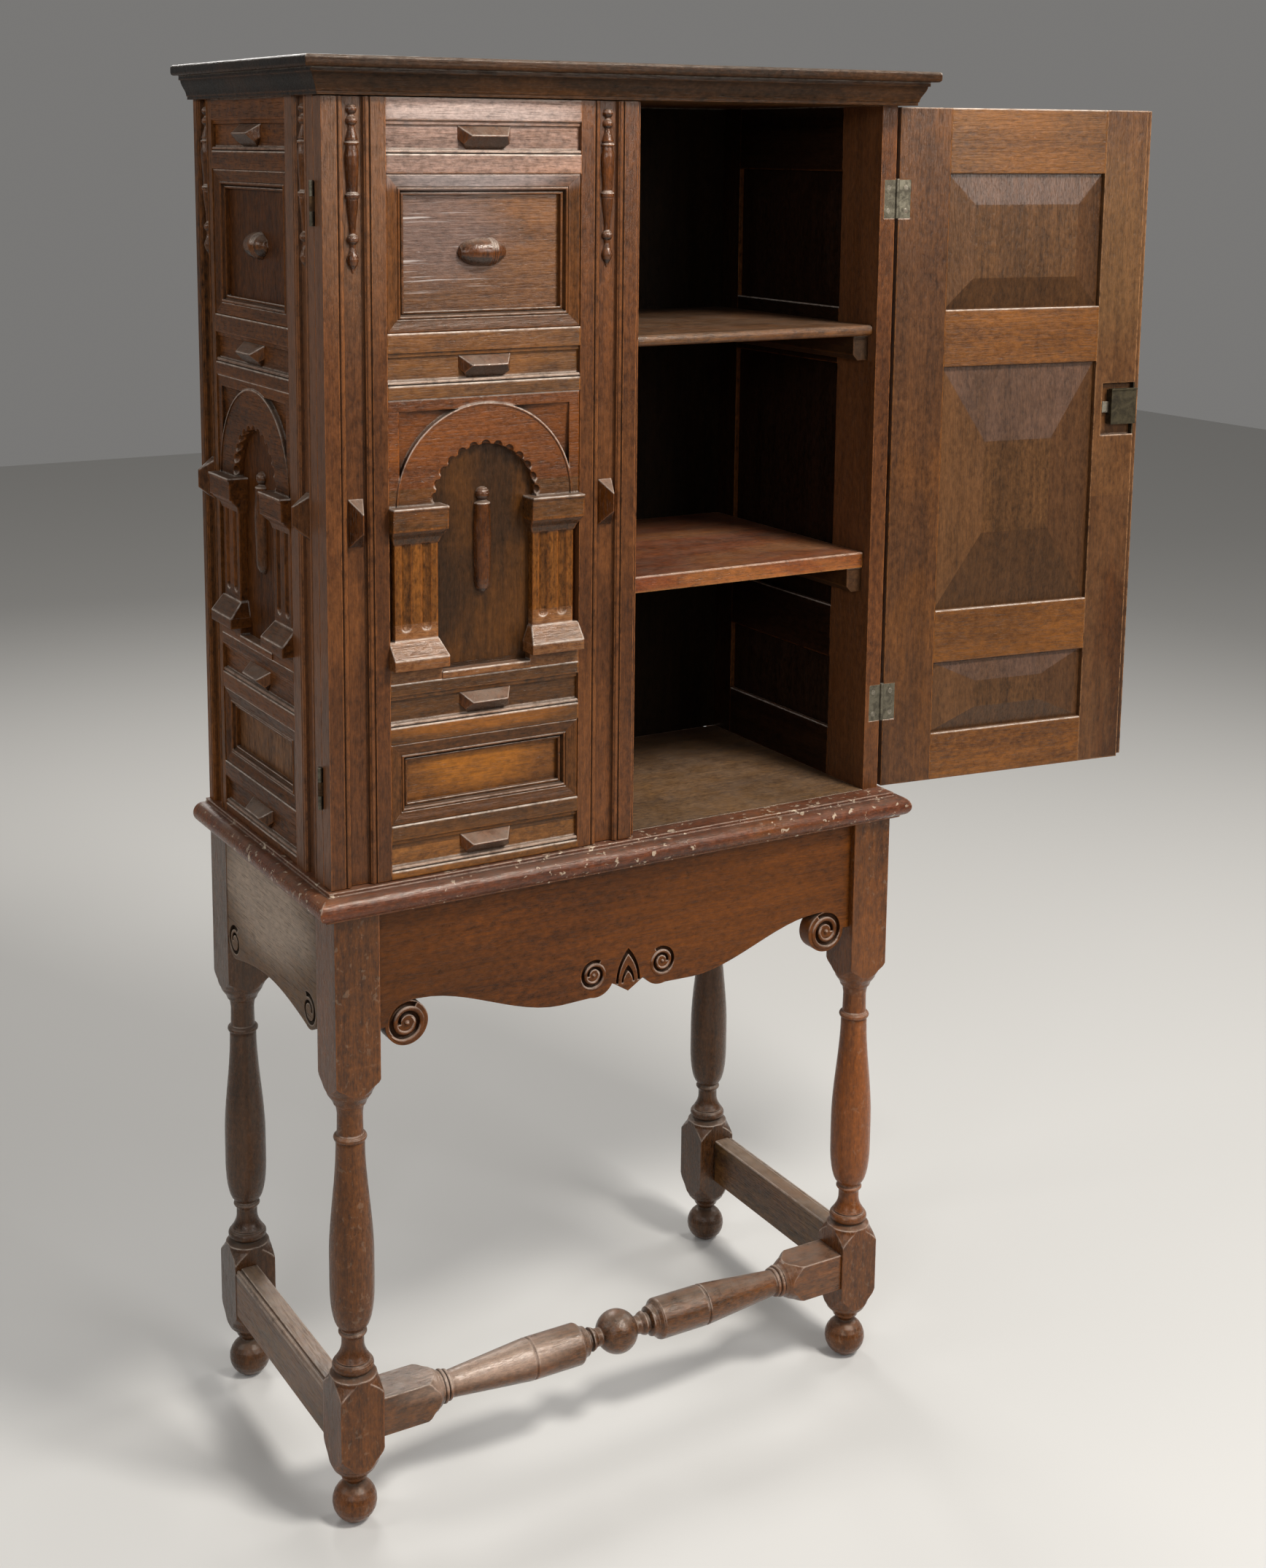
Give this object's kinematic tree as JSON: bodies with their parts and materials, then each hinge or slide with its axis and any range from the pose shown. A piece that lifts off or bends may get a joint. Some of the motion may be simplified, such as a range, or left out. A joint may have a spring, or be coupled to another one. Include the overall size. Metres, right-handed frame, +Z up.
{
  "type": "pier cupboard on stand",
  "caption": "Tall narrow carved oak cupboard with twin panelled doors and shelves, on a stand with turned legs and stretchers.",
  "frame": {"origin": "on the floor, midway between the four feet", "axes": "+Z up, the front faces -Y, +X is the right side seen from the front"},
  "size_m": [1.155, 0.4116, 1.649],
  "materials": {
    "oak": "dark red-brown stained oak, polished",
    "oak_worn": "stained oak worn lighter, polished",
    "oak_dark": "darker stained oak, polished",
    "oak_inside": "plain brown oak, low sheen",
    "brass": "aged, dull",
    "steel": "aged, dull"
  },
  "bodies": {
    "case": {"leg_front_left": "oak", "leg_front_right": "oak", "leg_back_left": "oak", "leg_back_right": "oak", "left_apron": "oak", "right_apron": "oak", "front_stretcher": "oak", "left_stretcher": "oak", "right_stretcher": "oak", "stand_moulding": "oak", "front_apron": "oak_worn", "lower_shelf": "oak_worn", "back_apron": "oak_dark", "case_top": "oak_dark", "cornice_moulding": "oak_dark", "cap_board": "oak_dark", "case_floor": "oak_inside", "case_back": "oak_inside", "upper_shelf": "oak_inside", "shelf_bearers": "oak_inside", "left_side_front_stile": "oak", "left_side_back_stile": "oak", "left_side_ornaments": "oak", "left_side_rails": "oak_worn", "left_side_arcade": "oak_worn", "left_side_panels": "oak_dark", "left_side_mouldings": "oak_dark", "right_side_front_stile": "oak", "right_side_back_stile": "oak", "right_side_ornaments": "oak", "right_side_rails": "oak_worn", "right_side_arcade": "oak_worn", "right_side_panels": "oak_dark", "right_side_mouldings": "oak_dark", "case_hinge_leaves": "brass", "hinge_pins": "steel", "case_hinge_screws": "steel"},
    "left_door": {"left_door_hinge_stile": "oak", "left_door_meeting_stile": "oak", "left_door_rails": "oak_worn", "left_door_panels": "oak_dark", "left_door_mouldings": "oak_dark", "left_door_arcade": "oak_worn", "left_door_ornaments": "oak", "left_door_hinge_leaves": "brass", "left_door_screws": "steel", "lock_strike": "brass"},
    "right_door": {"right_door_hinge_stile": "oak", "right_door_meeting_stile": "oak", "right_door_rails": "oak_worn", "right_door_panels": "oak_dark", "right_door_mouldings": "oak_dark", "right_door_arcade": "oak_worn", "right_door_ornaments": "oak", "right_door_hinge_leaves": "brass", "right_door_screws": "steel", "lock_case": "brass"},
    "lock_bolt": {"lock_bolt": "steel"}
  },
  "joints": [
    {"name": "left_door_hinge", "type": "hinge", "parent": "case", "child": "left_door", "pos_m": [-0.3777, -0.167, 1.188], "axis": [0, 0, 1], "range_deg": [-175, 0]},
    {"name": "right_door_hinge", "type": "hinge", "parent": "case", "child": "right_door", "pos_m": [0.3777, -0.167, 1.188], "axis": [0, 0, 1], "range_deg": [-173, 2]},
    {"name": "lock_bolt_slide", "type": "slide", "parent": "right_door", "child": "lock_bolt", "axis": [0.9925, -0.1219, 0], "range_m": [0, 0.011]}
  ]
}
